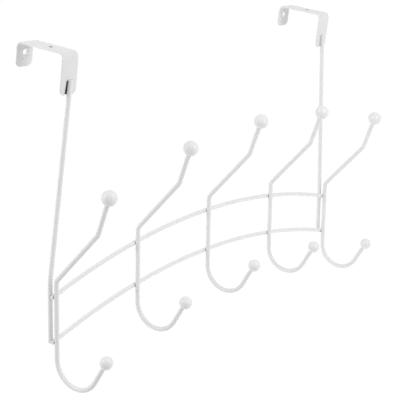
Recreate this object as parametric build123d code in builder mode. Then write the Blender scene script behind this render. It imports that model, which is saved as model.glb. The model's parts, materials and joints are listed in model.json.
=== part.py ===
from build123d import *
from math import asin, atan2, cos, degrees, radians, sin, sqrt, tan
import os

os.makedirs("parts", exist_ok=True)

# Over-door hook rack: two strap brackets, two uprights, two arched rails, five double hooks.
# Millimetres. The origin is on the door's top front edge, midway between the two brackets.
# X runs along the rails, the room is towards -Y, the door's thickness is towards +Y, Z is up.

# Bracket, a flat strap bent over the top of the door
DOOR_GAP = 45.0        # clear space between the legs, for the thickest door
STRAP_T = 1.2
STRAP_W = 17.8
FRONT_LEG = 33.0       # top face of the strap to the end of the front leg
BACK_LEG = 20.6        # the same for the back leg
STRAP_BEND_R = 3.5     # inner radius of both bends
STRAP_CORNER_R = 4.7   # rounded ends of both legs
STRAP_EDGE_R = 0.3     # softened edges all round the strap
BRACKET_X = 188.3      # half the spacing of the two brackets
TOP_HOLE_D = 3.0       # screw hole in the top plate
TOP_HOLE_BACK = 19.2   # from the door's front face back to that hole
BACK_HOLE_D = 4.7      # screw hole in the back leg
BACK_HOLE_DROP = 9.2   # from the top face down to that hole

# Wires
HOOK_D = 3.9
RAIL_D = 3.6
UPRIGHT_D = 3.9
SET_DOWN = 0.5         # how far two crossing wires sink into each other at a spot weld
WIRE_END_R = 0.4       # rounded ends of the rails and uprights

# Rails, two equal arcs that rise in the middle
HOOK_COUNT = 5
HOOK_PITCH = 103.0
RAIL_RISE = 27.0       # middle of a rail above its crossing with the end hooks
RAIL_LEAN = 5.6        # degrees that the arch of a rail leans back from the uprights, to the door
RAIL_DROP = 187.7      # door top down to the upper rail at the end hooks, along the uprights
RAIL_GAP = 36.9        # upper rail to lower rail along the hooks, axis to axis
RAIL_OVERHANG = 2.0    # rail end past the axis of the end hook

# Uprights: one bend above the rails, where they start to lean inward
UPRIGHT_TILT = 3.9     # degrees that the uprights slope out from the door below the brackets
LEAN_START = 11.0      # upper rail up to that bend
LEAN_BEND_R = 80.0
KICK = 2.2             # degrees that the rack below the bend slopes out further, hooks and all
UPRIGHT_TAIL = 1.7     # upright end below the lower rail's axis

# Slot in the front leg that holds the upright's top end, and the weld that fills its back
SLOT_H = 12.0          # end of the front leg up to the middle of the slot's top edge
SLOT_GAP = 1.55        # clearance on each side of the wire
SLOT_TOP_GAP = 0.2     # clearance above the wire's end
SLOT_CORNER_R = 0.8
WELD_T = 0.7
WELD_RECESS = 0.2      # weld face below the strap's door face
WELD_SHORT = 0.6       # weld end above the end of the front leg

# Double hook, measured forward and up from its crossing with the upper rail
ELBOW_Z = 13.2         # where the long arm leaves the shank
ARM_OUT = 41.8         # end of the long arm, forward
ARM_UP = 57.7          # end of the long arm, up
HORN_OUT = 52.6        # centre of the upper ball, forward
HORN_UP = 88.1         # centre of the upper ball, up
ARM_BEND_R = 7.0
J_R = 20.8             # wire axis of the lower hook
J_DROP = 50.1          # centre of that curve, below the crossing
TIP_ANGLE = 59.0       # slope of the straight tip
TIP_LENGTH = 22.3      # straight tip, up to the centre of the lower ball

# Ball tips, pushed onto the wire ends
BALL_UP_D = 12.6
BALL_LOW_D = 10.8
BALL_PAST = 1.2        # wire end past the ball's centre

# Places that follow from the sizes above
HOOK_R = HOOK_D / 2
RAIL_R = RAIL_D / 2
UPRIGHT_R = UPRIGHT_D / 2
HALF_SPAN = HOOK_PITCH * (HOOK_COUNT - 1) / 2
ARC_R = (HALF_SPAN ** 2 + RAIL_RISE ** 2) / (2 * RAIL_RISE)
UPRIGHT_Y = -UPRIGHT_R
RAIL_OUT = UPRIGHT_R + RAIL_R - SET_DOWN
SHANK_OUT = RAIL_R + HOOK_R - SET_DOWN
LEG_END_Z = STRAP_T - FRONT_LEG
SLOT_MID_Z = LEG_END_Z + SLOT_H / 2
LEAN_Z = LEAN_START - RAIL_DROP
LEAN = degrees(atan2(HALF_SPAN - BRACKET_X, SLOT_MID_Z - LEAN_Z))
HOOK_X = [HOOK_PITCH * (i - (HOOK_COUNT - 1) / 2) for i in range(HOOK_COUNT)]
SIDES = {"left": -1, "right": 1}
RAILS = {"upper": 0.0, "lower": RAIL_GAP}
PIVOT = Location((0, UPRIGHT_Y, LEG_END_Z + SLOT_H))
HANG = PIVOT * Location((0, 0, 0), (-UPRIGHT_TILT, 0, 0)) * PIVOT.inverse()
FOOT = HANG * Location((0, UPRIGHT_Y, LEAN_Z), (-KICK, 0, 0))


def arch_z(x):
    """Height of a rail's axis at x, above its crossings with the end hooks."""
    return sqrt(ARC_R ** 2 - x ** 2) - (ARC_R - RAIL_RISE)


def rail_frame(drop):
    """Frame of one rail's arch: below the bend, in front of the uprights, leaning back to the door."""
    return FOOT * Location((0, -RAIL_OUT, -LEAN_START - drop), (KICK - RAIL_LEAN, 0, 0))


def hook_frame(x):
    """Frame of the hook at x: its origin is on the upper rail's axis and it slopes out from the door."""
    crossing = rail_frame(0.0) * Location((x, 0, arch_z(x)))
    return Location(crossing.position, FOOT.orientation)


def lean_x(side, z):
    """Place of a leaning upright's axis at height z."""
    return side * (HALF_SPAN - (z - LEAN_Z) * tan(radians(LEAN)))


def slot_outline(side, end_z):
    """Slot round the upright's top end, parallel to it, open at the bottom; drawn in the current sketch."""
    width = UPRIGHT_D + 2 * SLOT_GAP
    top_z = LEG_END_Z + SLOT_H
    place = Location((lean_x(side, top_z), top_z), side * LEAN)
    with Locations(place):
        Rectangle(width, top_z - end_z, align=(Align.CENTER, Align.MAX))


def upright_path(side):
    """Axis of an upright: straight past both rails, one bend, then leaning inward up to the slot."""
    tail_z = -LEAN_START - RAIL_GAP - UPRIGHT_TAIL
    top_z = LEG_END_Z + SLOT_H - SLOT_TOP_GAP
    tail = (FOOT * Location((side * HALF_SPAN, 0, tail_z))).position
    bend = (HANG * Location((side * HALF_SPAN, UPRIGHT_Y, LEAN_Z))).position
    top = (HANG * Location((lean_x(side, top_z), UPRIGHT_Y, top_z))).position
    FilletPolyline(tail, bend, top, radius=LEAN_BEND_R)


def wire(path, radius, end_r=0.0):
    """Round bar swept along a finished path, with rounded ends where they stay free."""
    with BuildPart() as bar:
        with BuildSketch(Plane(origin=path @ 0, z_dir=path % 0)):
            Circle(radius)
        sweep(path=path)
        if end_r:
            fillet(bar.faces().filter_by(GeomType.PLANE).edges(), min(end_r, 0.6 * radius))
    return bar


def seated_wire(bar, radius, x):
    """The same wire with the shallow saddle of a spot weld at each of the two rails that it crosses at x."""
    turn = degrees(asin(x / ARC_R))
    with BuildPart() as seated:
        add(bar.part)
        for drop in RAILS.values():
            with Locations(rail_frame(drop) * Location((x, 0, arch_z(x)), (0, 90 + turn, 0))):
                Cylinder(RAIL_R, 4 * radius, mode=Mode.SUBTRACT)
    return seated


def keep(piece, label):
    """Name a finished piece and write its file."""
    piece.part.label = label
    export_step(piece.part, f"parts/{label}.step")


# Brackets
for name, side in SIDES.items():
    bracket_x = side * BRACKET_X
    with BuildPart() as bracket:
        with BuildSketch(Plane.YZ.offset(bracket_x)):
            with BuildLine():
                inner = [(0, LEG_END_Z), (0, 0), (DOOR_GAP, 0), (DOOR_GAP, STRAP_T - BACK_LEG)]
                outer = [(-STRAP_T, LEG_END_Z), (-STRAP_T, STRAP_T), (DOOR_GAP + STRAP_T, STRAP_T),
                         (DOOR_GAP + STRAP_T, STRAP_T - BACK_LEG)]
                FilletPolyline(*inner, radius=STRAP_BEND_R)
                FilletPolyline(*outer, radius=STRAP_BEND_R + STRAP_T)
                Line(inner[0], outer[0])
                Line(inner[-1], outer[-1])
            make_face()
        extrude(amount=STRAP_W / 2, both=True)
        leg_corners = bracket.edges().filter_by(Axis.Y).filter_by(lambda edge: edge.length < 2 * STRAP_T)
        fillet(leg_corners, STRAP_CORNER_R)
        plate_edges = bracket.edges().filter_by(Axis.Y).group_by(Edge.length)[-1]
        fillet(plate_edges, min(STRAP_EDGE_R, 0.4 * STRAP_T))
        with BuildSketch(Plane.XY):
            with Locations((bracket_x, TOP_HOLE_BACK)):
                Circle(TOP_HOLE_D / 2)
        extrude(amount=STRAP_T, mode=Mode.SUBTRACT)
        with BuildSketch(Plane.XZ.offset(-DOOR_GAP)):
            with Locations((bracket_x, STRAP_T - BACK_HOLE_DROP)):
                Circle(BACK_HOLE_D / 2)
        extrude(amount=-STRAP_T, mode=Mode.SUBTRACT)
        with BuildSketch(Plane.XZ) as slot:
            slot_outline(side, LEG_END_Z - SLOT_GAP)
            fillet(slot.vertices().sort_by(Axis.Y)[-2:], SLOT_CORNER_R)
        extrude(amount=STRAP_T, mode=Mode.SUBTRACT)
    keep(bracket, f"bracket_{name}")

# Uprights, and the welds that hold their top ends in the slots
for name, side in SIDES.items():
    with BuildLine() as axis:
        upright_path(side)
    upright = seated_wire(wire(axis.line, UPRIGHT_R, WIRE_END_R), UPRIGHT_R, side * HALF_SPAN)
    keep(upright, f"upright_{name}")

    with BuildPart() as weld:
        with BuildSketch(Plane.XZ.offset(WELD_RECESS)) as seam:
            slot_outline(side, LEG_END_Z + WELD_SHORT)
            fillet(seam.vertices().sort_by(Axis.Y)[-2:], SLOT_CORNER_R)
        extrude(amount=WELD_T)
        add(upright.part, mode=Mode.SUBTRACT)
    keep(weld, f"weld_{name}")

# Rails
for name, drop in RAILS.items():
    end_x = HALF_SPAN + RAIL_OVERHANG
    with BuildLine(Plane(rail_frame(drop) * Plane.XZ.location)) as axis:
        ThreePointArc((-end_x, arch_z(end_x)), (0, RAIL_RISE), (end_x, arch_z(end_x)))
    keep(wire(axis.line, RAIL_R, WIRE_END_R), f"rail_{name}")

# Hooks and their ball tips
for number, hook_x in enumerate(HOOK_X, start=1):
    horn = (-SHANK_OUT - HORN_OUT, HORN_UP)
    elbow = (-SHANK_OUT, ELBOW_Z)
    knee = (-SHANK_OUT - ARM_OUT, ARM_UP)
    horn_slope = atan2(horn[1] - knee[1], knee[0] - horn[0])
    horn_end = (horn[0] - BALL_PAST * cos(horn_slope), horn[1] + BALL_PAST * sin(horn_slope))
    j_start = (-SHANK_OUT, -J_DROP)
    with BuildLine(Plane(hook_frame(hook_x) * Plane.YZ.location)) as axis:
        FilletPolyline(horn_end, knee, elbow, j_start, radius=ARM_BEND_R)
        curl = JernArc(j_start, (0, -1), J_R, -(90 + TIP_ANGLE))
        tip_end = curl @ 1 + (curl % 1) * (TIP_LENGTH + BALL_PAST)
        Line(curl @ 1, tip_end)
    keep(seated_wire(wire(axis.line, HOOK_R), HOOK_R, hook_x), f"hook_{number}")

    for level, diameter, at in (("upper", BALL_UP_D, 0), ("lower", BALL_LOW_D, 1)):
        end = axis.line @ at
        inward = (axis.line % at) * (1 if at == 0 else -1)
        with BuildPart() as ball:
            with Locations(end + inward * BALL_PAST):
                Sphere(diameter / 2)
            with BuildSketch(Plane(origin=end, z_dir=inward)):
                Circle(HOOK_R)
            extrude(amount=diameter, mode=Mode.SUBTRACT)
        keep(ball, f"ball_{level}_{number}")
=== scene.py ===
# %% [markdown]
# # A white wire rack that hangs over a door
# The rack is made of five bent wire hooks on two arched rails, two leaning uprights and two flat brackets.
# Every one of these has a real size, so all of them come from the CAD model, which is loaded here as a
# fixed frame. Blender adds what CAD leaves out: the paint, the gloss of the ball tips, the beads of the spot
# welds and the light.

# %% Load the CAD frame
import json
import math

import bpy
from mathutils import Matrix, Vector


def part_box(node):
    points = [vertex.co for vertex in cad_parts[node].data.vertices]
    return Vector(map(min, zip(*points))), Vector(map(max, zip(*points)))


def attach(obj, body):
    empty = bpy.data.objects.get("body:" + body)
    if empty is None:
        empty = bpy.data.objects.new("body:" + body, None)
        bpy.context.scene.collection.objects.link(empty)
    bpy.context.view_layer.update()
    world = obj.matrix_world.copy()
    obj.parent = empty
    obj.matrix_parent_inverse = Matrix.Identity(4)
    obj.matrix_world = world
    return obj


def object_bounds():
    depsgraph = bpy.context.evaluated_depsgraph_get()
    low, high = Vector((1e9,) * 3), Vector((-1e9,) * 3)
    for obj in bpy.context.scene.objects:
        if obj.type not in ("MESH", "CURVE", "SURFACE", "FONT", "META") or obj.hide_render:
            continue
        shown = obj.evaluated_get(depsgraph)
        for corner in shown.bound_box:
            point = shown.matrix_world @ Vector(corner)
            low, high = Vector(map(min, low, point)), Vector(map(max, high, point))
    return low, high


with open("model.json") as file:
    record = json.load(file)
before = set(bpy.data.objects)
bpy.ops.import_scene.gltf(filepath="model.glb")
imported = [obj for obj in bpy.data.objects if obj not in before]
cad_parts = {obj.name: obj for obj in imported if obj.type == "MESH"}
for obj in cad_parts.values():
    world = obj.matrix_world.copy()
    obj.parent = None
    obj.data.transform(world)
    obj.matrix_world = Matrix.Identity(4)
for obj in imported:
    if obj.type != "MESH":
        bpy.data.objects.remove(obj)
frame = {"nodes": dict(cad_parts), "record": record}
nodes = frame["nodes"]
cad_low, cad_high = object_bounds()
size_mm = [round((high - low) * 1000, 1) for low, high in zip(cad_low, cad_high)]
print(f"{len(nodes)} CAD pieces, {size_mm} mm over all")

# %% [markdown]
# ## The camera
# The photograph looks at the near end of the rack from the left and a little from above. A camera can be
# placed by eye, but the centres of the ball tips and the bends of the wires are exact points. Fitted to them,
# the camera's place, the way it points, its tilt and its lens come out as the numbers that are used here.

# %% Stand the camera where the photograph was taken
CAMERA_PLACE = Vector((-0.90423, -0.60923, 0.19968))
CAMERA_YAW = math.radians(56.255)      # 0 looks along +Y, and more turns to +X
CAMERA_PITCH = math.radians(-17.961)   # below the horizon
CAMERA_ROLL = math.radians(6.417)
LENS_MM = 114.30
SENSOR_MM = 36.0


def put_in_scene(name, data):
    """A new object in the scene that shows a mesh, a camera or a lamp."""
    made = bpy.data.objects.new(name, data)
    bpy.context.scene.collection.objects.link(made)
    return made


look = Vector((math.sin(CAMERA_YAW) * math.cos(CAMERA_PITCH),
               math.cos(CAMERA_YAW) * math.cos(CAMERA_PITCH),
               math.sin(CAMERA_PITCH)))
level_right = look.cross(Vector((0, 0, 1))).normalized()
level_up = level_right.cross(look)
picture_right = level_right * math.cos(CAMERA_ROLL) + level_up * math.sin(CAMERA_ROLL)
picture_up = level_up * math.cos(CAMERA_ROLL) - level_right * math.sin(CAMERA_ROLL)

camera = put_in_scene("camera", bpy.data.cameras.new("camera"))
camera.data.lens = LENS_MM
camera.data.sensor_width = SENSOR_MM
camera_turn = Matrix((picture_right, picture_up, -look)).transposed()
camera.matrix_world = Matrix.Translation(CAMERA_PLACE) @ camera_turn.to_4x4()
bpy.context.scene.camera = camera
print("camera", [round(v, 3) for v in CAMERA_PLACE], "lens", LENS_MM, "mm")

# %% [markdown]
# ## A short way to write shader maths
# A finish is a small graph of nodes. Written out node by node it is long and hard to read, so one class wraps
# a socket: `+`, `-` and `*` on it add Math nodes, and its `node` method adds anything else. Noise and a blend
# of two colours are used in every finish, so they have methods of their own. A finish then reads like
# a formula.


# %% One class for every finish
class Tone:
    """One socket of a finish. Sums and products of tones and numbers add Math nodes."""

    def __init__(self, tree, socket):
        self.tree = tree
        self.socket = socket

    def node(self, kind, settings=None, sockets=None, output=0):
        """Any node: its settings first, then values or links for its sockets. Gives one of its outputs."""
        made = self.tree.nodes.new(kind)
        for key, value in (settings or {}).items():
            if key == "stops":
                for stop, (place, shade) in zip(made.color_ramp.elements, value):
                    stop.position = place
                    stop.color = (shade, shade, shade, 1)
            else:
                setattr(made, key, value)
        for key, value in (sockets or {}).items():
            if isinstance(value, Tone):
                self.tree.links.new(value.socket, made.inputs[key])
            else:
                made.inputs[key].default_value = value
        return Tone(self.tree, made.outputs[output]) if made.outputs else made

    def noise(self, blotch_mm, detail):
        """Soft noise from 0 to 1 on these coordinates, with blotches of about that size."""
        return self.node("ShaderNodeTexNoise", {"noise_dimensions": "3D"},
                         {"Vector": self, "Scale": 1000 / blotch_mm, "Detail": detail})

    def blend(self, first, second):
        """A colour between two colours: the first where this tone is 0, the second where it is 1."""
        return self.node("ShaderNodeMix", {"data_type": "RGBA"},
                         {"Factor": self, "A": first, "B": second}, output=2)

    def maths(self, operation, first, second):
        return self.node("ShaderNodeMath", {"operation": operation}, {0: first, 1: second})

    def __add__(self, other):
        return self.maths("ADD", self, other)

    def __sub__(self, other):
        return self.maths("SUBTRACT", self, other)

    def __rsub__(self, other):
        return self.maths("SUBTRACT", other, self)

    def __mul__(self, other):
        return self.maths("MULTIPLY", self, other)

    __radd__ = __add__
    __rmul__ = __mul__


def new_finish(name):
    """An empty material, and the object coordinates that its pattern is laid out on."""
    material = bpy.data.materials.new(name)
    material.use_nodes = True
    material.node_tree.nodes.clear()
    start = Tone(material.node_tree, None)
    return material, start.node("ShaderNodeTexCoord", output="Object")


def close_finish(shader):
    """Lead the last shader to the material's surface."""
    shader.node("ShaderNodeOutputMaterial", sockets={"Surface": shader})


print("finish helpers ready")

# %% [markdown]
# ## Powder coat
# The wires and straps are coated with white powder that is melted in an oven. The skin that it leaves is
# never quite flat: it has the fine dimples called orange peel, about a millimetre across, slow waves, and
# a gloss that changes a little from place to place. An image could carry all that, but noise on object
# coordinates has no seams, follows no unwrapping, and keeps its size in millimetres on every piece.
# The wall of the small screw hole on top of each bracket is coloured dark, as painted shade inside the hole.

# %% Whites and blotch sizes of the paint
WHITE = (0.84, 0.84, 0.845)
STRAP_WHITE = (0.81, 0.81, 0.815)
# Painted shade: the grey of the spot-weld beads stands in for the shade in the crevices where wires cross.
BEAD_SHADE_GREY = (0.34, 0.335, 0.33)
DULL_SHARE = 0.965          # the duller blotches, as a share of the white
# Painted shade: the wall of each small screw hole is coloured dark to stand in for the shade inside it.
HOLE_PAINTED_SHADE = (0.10, 0.10, 0.10, 1)
HOLE_MARGIN = 1.04          # the dark wall reaches a little past the edge of the hole
GRAIN_MM = 0.16             # finest changes of the gloss
SHADE_MM = 11               # slow changes of the white
WAVE_TO_PEEL = 9            # length of the slow waves, in dimples
PAINT_IOR = 1.5
top_screws = next(mount for mount in frame["record"]["mounts"] if mount["name"] == "top_screws")
print("dark screw holes of", 2 * top_screws["dims"]["hole_r_mm"], "mm")


# %% White powder coat for wires and straps
def inside_holes(place, hole):
    """1 inside the two mirrored holes of a screw pattern that runs straight down, and 0 elsewhere."""
    away = (hole["dims"]["spacing_x_mm"] / 2000, hole["pos_m"][1], 0)
    mirrored = place.node("ShaderNodeVectorMath", {"operation": "ABSOLUTE"}, {0: place})
    offset = place.node("ShaderNodeVectorMath", {"operation": "SUBTRACT"}, {0: mirrored, 1: away})
    level = place.node("ShaderNodeVectorMath", {"operation": "MULTIPLY"}, {0: offset, 1: (1, 1, 0)})
    distance = place.node("ShaderNodeVectorMath", {"operation": "LENGTH"}, {0: level}, output="Value")
    return place.maths("LESS_THAN", distance, HOLE_MARGIN * hole["dims"]["hole_r_mm"] / 1000)


def powder_coat(name, whiteness, peel_mm, peel_depth_mm, roughness, hole=None):
    """Paint with orange peel of a given size and depth, and painted shade on the walls of a screw hole, if it
    has one.
    """
    material, place = new_finish(name)
    peel = place.noise(peel_mm, detail=2)
    wave = place.noise(peel_mm * WAVE_TO_PEEL, detail=1)
    grain = place.noise(GRAIN_MM, detail=1)
    shade = place.noise(SHADE_MM, detail=3)
    tone = shade.blend([c * DULL_SHARE for c in whiteness] + [1], [*whiteness, 1])
    if hole:
        # painted shade inside the screw holes
        tone = inside_holes(place, hole).blend(tone, HOLE_PAINTED_SHADE)
    skin = place.node("ShaderNodeBump", None,
                      {"Height": peel * 0.7 + wave * 0.3, "Strength": 1.0, "Distance": peel_depth_mm / 1000})
    rough = roughness + (grain - 0.5) * 0.06 + (peel - 0.5) * 0.08
    close_finish(place.node("ShaderNodeBsdfPrincipled", None,
                            {"Base Color": tone, "Roughness": rough, "Normal": skin, "IOR": PAINT_IOR}))
    return material


wire_coat = powder_coat("white_powder_coat_wire", WHITE, peel_mm=1.1, peel_depth_mm=0.002, roughness=0.24)
strap_coat = powder_coat("white_powder_coat_strap", STRAP_WHITE, peel_mm=1.5, peel_depth_mm=0.003,
                         roughness=0.28, hole=top_screws)
# painted shade of the crevices at the wire crossings
bead_shade_coat = powder_coat("weld_bead_painted_shade", BEAD_SHADE_GREY, peel_mm=0.6, peel_depth_mm=0.004,
                        roughness=0.34)
print("powder coats:", wire_coat.name, strap_coat.name, bead_shade_coat.name)

# %% [markdown]
# ## Ball tips
# The balls are moulded from white plastic and pushed onto the wire ends. Moulded plastic is smoother and
# glossier than powder coat, with only faint flow marks, so its noise is larger, shallower and stretched.

# %% Gloss white plastic for the ball tips
PLASTIC_DULL = (0.83, 0.83, 0.835, 1)
PLASTIC_WHITE = (0.86, 0.86, 0.865, 1)
PLASTIC_ROUGHNESS = 0.15
PLASTIC_IOR = 1.5
FLOW_MM = 3.846
FLOW_DEPTH_MM = 0.0015
FLOW_STRETCH = (1, 1, 0.4)   # flow marks are longer up and down
HAZE_MM = 3.333


def moulded_white(name):
    """Glossy white plastic with faint flow marks."""
    material, place = new_finish(name)
    stretched = place.node("ShaderNodeMapping", None, {"Vector": place, "Scale": FLOW_STRETCH})
    flow = stretched.noise(FLOW_MM, detail=2)
    haze = place.noise(HAZE_MM, detail=1)
    tone = flow.blend(PLASTIC_DULL, PLASTIC_WHITE)
    skin = place.node("ShaderNodeBump", None,
                      {"Height": flow * 0.9 + haze * 0.1, "Strength": 1.0, "Distance": FLOW_DEPTH_MM / 1000})
    rough = PLASTIC_ROUGHNESS + (haze - 0.5) * 0.03
    close_finish(place.node("ShaderNodeBsdfPrincipled", None,
                            {"Base Color": tone, "Roughness": rough, "Normal": skin, "IOR": PLASTIC_IOR}))
    return material


ball_plastic = moulded_white("gloss_white_plastic")
print("ball finish:", ball_plastic.name)

# %% [markdown]
# ## The weld in the bracket's slot
# Each upright ends in a slot of its bracket, where a weld from the door side holds it. Seen through the gap
# beside the wire it is coloured nearly black: partly bare weld metal, and partly painted shade of the narrow
# gap. Ripples across the seam and specks of scale give it the look of bare weld metal. The door side is open
# and painted white. On the room side the near weld carries this painted shade below its top edge, while the
# far one is white all over, so each finish has its own height down to which it is white.

# %% Weld metal with painted shade
# Painted shade: these weld greys are far darker than bare steel, and stand in for the shade in the slot's
# narrow gap.
WELD_METAL_AND_SHADE_DARK = (0.055, 0.052, 0.05, 1)
WELD_METAL_AND_SHADE_LIGHT = (0.16, 0.155, 0.15, 1)
BARE_METALLIC = 0.7
CRUST_MM = 0.714        # specks of scale
SEAM_DEPTH = 0.00015    # metres, of the ripples
PAINT_FADE = 0.0003     # metres over which the paint gives out, each way
PAINTED_EDGE = 0.0009   # metres of paint at the top of the near weld


def weld_metal(name, paint_end, back_start):
    """Weld metal coloured dark as painted shade of the slot, rippled, with specks, painted white above height
    paint_end and behind depth back_start.
    """
    material, place = new_finish(name)
    up = place.node("ShaderNodeSeparateXYZ", None, {"Vector": place}, output="Z")
    deep = place.node("ShaderNodeSeparateXYZ", None, {"Vector": place}, output="Y")
    above = place.node("ShaderNodeMapRange", None, {"Value": up, "From Min": paint_end - PAINT_FADE,
                                                    "From Max": paint_end + PAINT_FADE})
    painted = place.maths("MAXIMUM", above, place.maths("GREATER_THAN", deep, back_start))
    ripple = place.node("ShaderNodeTexWave", {"bands_direction": "Z", "wave_profile": "SAW"},
                        {"Vector": place, "Scale": 190, "Distortion": 4.0, "Detail": 2, "Detail Scale": 3},
                        output="Fac")
    crust = place.noise(CRUST_MM, detail=4)
    speck = place.node("ShaderNodeValToRGB", {"stops": ((0.42, 0.0), (0.62, 1.0))}, {"Fac": crust})
    tone = painted.blend(speck.blend(WELD_METAL_AND_SHADE_DARK, WELD_METAL_AND_SHADE_LIGHT), (*WHITE, 1))
    skin = place.node("ShaderNodeBump", None,
                      {"Height": ripple * 0.7 + crust * 0.3, "Strength": 0.6, "Distance": SEAM_DEPTH})
    rough = 0.42 + speck * 0.2
    close_finish(place.node("ShaderNodeBsdfPrincipled", None,
                            {"Base Color": tone, "Roughness": rough, "Normal": skin,
                             "Metallic": (1 - painted) * BARE_METALLIC}))
    return material


weld_low, weld_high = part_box("weld_left")
weld_middle = (weld_low.y + weld_high.y) / 2
# the near weld carries painted shade below its top edge; the far weld is white all over
weld_with_painted_shade = weld_metal("weld_metal_with_painted_shade", weld_high.z - PAINTED_EDGE, weld_middle)
painted_weld = weld_metal("painted_weld_metal", weld_low.z - PAINTED_EDGE, weld_middle)
print("weld finishes:", weld_with_painted_shade.name, painted_weld.name)

# %% [markdown]
# ## Dress the CAD pieces
# A CAD piece keeps its mesh as it is. Only its material slot changes, chosen by the first word of its name,
# or by its whole name where one of a pair differs.

# %% Give each CAD piece its finish
finishes = {"bracket": strap_coat, "upright": wire_coat, "rail": wire_coat, "hook": wire_coat,
            "ball": ball_plastic, "weld_left": weld_with_painted_shade, "weld_right": painted_weld}
for name, piece in nodes.items():
    piece.data.materials.clear()
    piece.data.materials.append(finishes.get(name) or finishes[name.split("_")[0]])
print("finished pieces:", ", ".join(sorted(nodes)))

# %% [markdown]
# ## Spot welds where the wires cross
# The hooks and uprights are spot-welded to the rails. The heat squeezes a little metal out of each crossing,
# and leaves a small soft bead in the corners between the two wires. The beads are coloured grey, as painted
# shade of the crevices where the wires cross.
# There are fourteen of them, all alike but none the same. Geometry Nodes suit that: one bead is made once,
# put on every crossing, and roughened by noise, with its sizes as named inputs.

# %% Find the crossings on the CAD meshes
RUN_STEP = 0.001   # metres to each side, to tell which way a rail runs


def rail_axis(rail, x):
    """Middle and radius of a rail where it passes x, from the mesh edges that cross that plane."""
    corners = [v.co for v in nodes[rail].data.vertices]
    edges = [[corners[i] for i in edge.vertices] for edge in nodes[rail].data.edges]
    cut = [p.lerp(q, (x - p.x) / (q.x - p.x)) for p, q in edges if (p.x - x) * (q.x - x) < 0]
    low = Vector(min(point[axis] for point in cut) for axis in range(3))
    high = Vector(max(point[axis] for point in cut) for axis in range(3))
    return (low + high) / 2, (high.y - low.y) / 2


hook_places = sorted(sum(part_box(n), Vector()).x / 2 for n in nodes if n.startswith("hook"))
down = rail_axis("rail_lower", hook_places[0])[0] - rail_axis("rail_upper", hook_places[0])[0]
rack_slope = math.atan2(-down.y, -down.z)
to_room = Vector((0, -math.cos(rack_slope), math.sin(rack_slope)))
crossings = []
for rail in ("rail_upper", "rail_lower"):
    for x in hook_places:
        middle, radius = rail_axis(rail, x)
        run = (rail_axis(rail, x + RUN_STEP)[0] - rail_axis(rail, x - RUN_STEP)[0]).normalized()
        turn = Matrix((run, -to_room, run.cross(-to_room))).transposed().to_euler()
        crossings.append((middle + to_room * radius, turn))
        if x in (hook_places[0], hook_places[-1]):
            crossings.append((middle - to_room * radius, turn))
print(f"{len(crossings)} crossings, the first at", [round(v * 1000, 1) for v in crossings[0][0]], "mm")
print("the rack slopes", round(math.degrees(rack_slope), 1), "degrees out from the door")

# %% Build the bead tree
SMALLEST_BEAD = 0.88      # random sizes, against the given one
LARGEST_BEAD = 1.12
BEAD_SMOOTHNESS = 4       # subdivisions of the ball that a bead starts from
LUMPS_IN_A_METRE = 700


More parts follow.
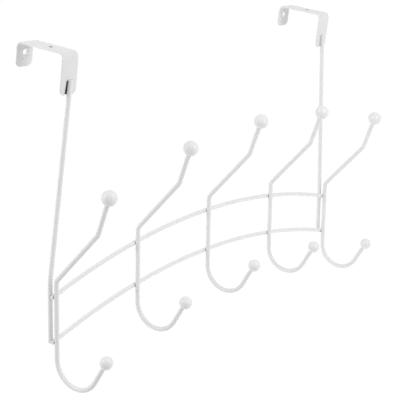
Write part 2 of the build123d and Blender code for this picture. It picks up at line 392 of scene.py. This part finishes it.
def bead_tree():
    """Geometry Nodes that put one uneven bead on every point of a mesh."""
    tree = bpy.data.node_groups.new("spot_weld_beads", "GeometryNodeTree")
    tree.interface.new_socket(name="Crossings", in_out="INPUT", socket_type="NodeSocketGeometry")
    for title, kind in (("Bead width", "NodeSocketFloat"), ("Bead thickness", "NodeSocketFloat"),
                        ("Unevenness", "NodeSocketFloat"), ("Seed", "NodeSocketInt"),
                        ("Coat", "NodeSocketMaterial")):
        tree.interface.new_socket(name=title, in_out="INPUT", socket_type=kind)
    tree.interface.new_socket(name="Beads", in_out="OUTPUT", socket_type="NodeSocketGeometry")
    add, link = tree.nodes.new, tree.links.new
    given = add("NodeGroupInput").outputs

    # One flat bead, a ball squeezed to the given width and thickness
    ball = add("GeometryNodeMeshIcoSphere")
    ball.inputs["Radius"].default_value = 0.5
    ball.inputs["Subdivisions"].default_value = BEAD_SMOOTHNESS
    flat = add("ShaderNodeCombineXYZ")
    link(given["Bead width"], flat.inputs["X"])
    link(given["Bead thickness"], flat.inputs["Y"])
    link(given["Bead width"], flat.inputs["Z"])
    bead = add("GeometryNodeTransform")
    link(ball.outputs["Mesh"], bead.inputs["Geometry"])
    link(flat.outputs[0], bead.inputs["Scale"])

    # The same bead on every crossing, turned along its rail and a little larger or smaller
    turn = add("GeometryNodeInputNamedAttribute")
    turn.data_type = "FLOAT_VECTOR"
    turn.inputs["Name"].default_value = "turn"
    turned = add("FunctionNodeEulerToRotation")
    link(turn.outputs["Attribute"], turned.inputs["Euler"])
    spread = add("FunctionNodeRandomValue")
    spread.data_type = "FLOAT"
    spread.inputs[2].default_value = SMALLEST_BEAD
    spread.inputs[3].default_value = LARGEST_BEAD
    link(given["Seed"], spread.inputs["Seed"])
    set_out = add("GeometryNodeInstanceOnPoints")
    link(given["Crossings"], set_out.inputs["Points"])
    link(bead.outputs[0], set_out.inputs["Instance"])
    link(turned.outputs[0], set_out.inputs["Rotation"])
    link(spread.outputs[1], set_out.inputs["Scale"])
    real = add("GeometryNodeRealizeInstances")
    link(set_out.outputs[0], real.inputs[0])

    # Lumps: noise pushes each face out or in along its normal
    lumps = add("ShaderNodeTexNoise")
    lumps.inputs["Scale"].default_value = LUMPS_IN_A_METRE
    lumps.inputs["Detail"].default_value = 1
    centred = add("ShaderNodeMath")
    centred.operation = "SUBTRACT"
    centred.inputs[1].default_value = 0.5
    link(lumps.outputs[0], centred.inputs[0])
    depth = add("ShaderNodeMath")
    depth.operation = "MULTIPLY"
    link(centred.outputs[0], depth.inputs[0])
    link(given["Unevenness"], depth.inputs[1])
    push = add("ShaderNodeVectorMath")
    push.operation = "SCALE"
    link(add("GeometryNodeInputNormal").outputs[0], push.inputs[0])
    link(depth.outputs[0], push.inputs["Scale"])
    uneven = add("GeometryNodeSetPosition")
    link(real.outputs[0], uneven.inputs["Geometry"])
    link(push.outputs[0], uneven.inputs["Offset"])

    # Smooth shading and paint
    smooth = add("GeometryNodeSetShadeSmooth")
    link(uneven.outputs[0], smooth.inputs["Geometry"])
    painted = add("GeometryNodeSetMaterial")
    link(smooth.outputs[0], painted.inputs["Geometry"])
    link(given["Coat"], painted.inputs["Material"])
    link(painted.outputs[0], add("NodeGroupOutput").inputs[0])
    return tree


beads_by_rule = bead_tree()
print("bead tree:", len(beads_by_rule.nodes), "nodes")

# %% Lay the beads on the crossings
points = bpy.data.meshes.new("crossing_points")
points.from_pydata([place for place, turn in crossings], [], [])
turns = points.attributes.new("turn", "FLOAT_VECTOR", "POINT")
for entry, (place, turn) in zip(turns.data, crossings):
    entry.vector = turn
carrier = put_in_scene("crossing_points", points)

rule = carrier.modifiers.new("beads", "NODES")
rule.node_group = beads_by_rule
wanted = {"Bead width": 0.0040, "Bead thickness": 0.0013, "Unevenness": 0.0003, "Seed": 7, "Coat": bead_shade_coat}
for item in beads_by_rule.interface.items_tree:
    if item.name in wanted:
        rule[item.identifier] = wanted[item.name]
shaped = carrier.evaluated_get(bpy.context.evaluated_depsgraph_get())
bead_mesh = bpy.data.meshes.new_from_object(shaped)
bead_mesh.materials.pop(index=0)   # the empty slot that the bare ball brought along
carrier.modifiers.clear()
bpy.data.objects.remove(carrier)

beads = put_in_scene("spot_weld_beads", bead_mesh)
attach(beads, "root")
print("spot weld beads:", len(bead_mesh.polygons), "faces, finish", list(bead_mesh.materials))

# %% [markdown]
# ## Floor and white surroundings
# The rack is shown against plain white. It hangs, so the pale floor lies far below it and takes no shadow
# that could be seen. Rays that come from the camera or from a reflection find the floor and the world white,
# while the light that falls on the rack comes only from the lamps, a low even world and the floor's bounce.

# %% Floor and world
FLOOR_DROP = 1.1       # metres below the lowest hook
FLOOR_REACH = 30.0     # metres to each side
FLOOR_GREY = (0.8, 0.8, 0.8, 1)
FLOOR_GLOW = 1.02      # brightness of the floor as the camera sees it, just past white
GLOW_SHARE = 0.97      # how much of that sight is glow, and not the lit floor
PURE_WHITE = (1, 1, 1, 1)
AMBIENT = 0.67         # light from the even world, against the white that the camera sees


def looked_at(start):
    """1 on rays from the camera, a reflection or a clear piece, and 0 on rays that only gather light."""
    seen = start.node("ShaderNodeLightPath", output="Is Camera Ray")
    for ray in ("Is Glossy Ray", "Is Transmission Ray"):
        seen = start.maths("MAXIMUM", seen, start.node("ShaderNodeLightPath", output=ray))
    return seen


floor_z = cad_low.z - FLOOR_DROP
corners = ((-1, -1), (1, -1), (1, 1), (-1, 1))
floor_mesh = bpy.data.meshes.new("floor")
floor_mesh.from_pydata([(x * FLOOR_REACH, y * FLOOR_REACH, floor_z) for x, y in corners], [], [(0, 1, 2, 3)])
floor = put_in_scene("floor", floor_mesh)

floor_paint, floor_place = new_finish("pale_floor")
matt = floor_place.node("ShaderNodeBsdfDiffuse", None, {"Color": FLOOR_GREY})
white = floor_place.node("ShaderNodeEmission", None, {"Color": PURE_WHITE, "Strength": FLOOR_GLOW})
glow_share = looked_at(floor_place) * GLOW_SHARE
close_finish(floor_place.node("ShaderNodeMixShader", None, {0: glow_share, 1: matt, 2: white}))
floor_mesh.materials.append(floor_paint)

world = bpy.data.worlds.new("white_room")
bpy.context.scene.world = world
world.use_nodes = True
world.node_tree.nodes.clear()
room = Tone(world.node_tree, None)
brightness = AMBIENT + looked_at(room) * (1 - AMBIENT)
glow = room.node("ShaderNodeBackground", None, {"Color": PURE_WHITE, "Strength": brightness})
room.node("ShaderNodeOutputWorld", None, {"Surface": glow})
print("floor at", round(floor_z, 2), "m")

# %% [markdown]
# ## Soft studio light
# The ball tips work like small mirrors: each shows one soft strip of light on its left and one on its right,
# and where these sit from ball to ball tells where the lamps stood. So one tall soft lamp stands before the
# rack and one behind its near end. More light comes up from two places below, as from a pale surface. The
# even world does the rest, so that a colour looks about as it is written.


# %% Soft lamps
def soft_lamp(name, place, width, height, watts, mirrored=True):
    """A soft lamp that faces the middle of the rack. It isn't seen itself, but gloss may mirror it."""
    data = bpy.data.lights.new(name, "AREA")
    data.shape = "RECTANGLE"
    data.size = width
    data.size_y = height
    data.energy = watts
    lamp = put_in_scene(name, data)
    aim = (cad_low + cad_high) / 2 - Vector(place)
    lamp.matrix_world = Matrix.Translation(place) @ aim.to_track_quat("-Z", "Y").to_matrix().to_4x4()
    lamp.visible_camera = False
    lamp.visible_glossy = mirrored
    return lamp


lamps = [soft_lamp("lamp_before_the_rack", (0.05, -0.78, 0.35), width=0.3, height=1.0, watts=3.1),
         soft_lamp("lamp_behind_the_near_end", (-0.75, 0.52, 0.21), width=0.34, height=1.0, watts=2.8),
         soft_lamp("bounce_under_the_door_side", (-0.10, 0.45, -0.75), width=0.9, height=0.7, watts=2.6,
                   mirrored=False),
         soft_lamp("bounce_under_the_far_end", (0.45, -0.30, -0.85), width=0.8, height=0.8, watts=2.6,
                   mirrored=False)]
for lamp in lamps:
    print(lamp.name, round(lamp.data.energy, 1), "W")

# %% Standard view transform
bpy.context.scene.view_settings.view_transform = "Standard"
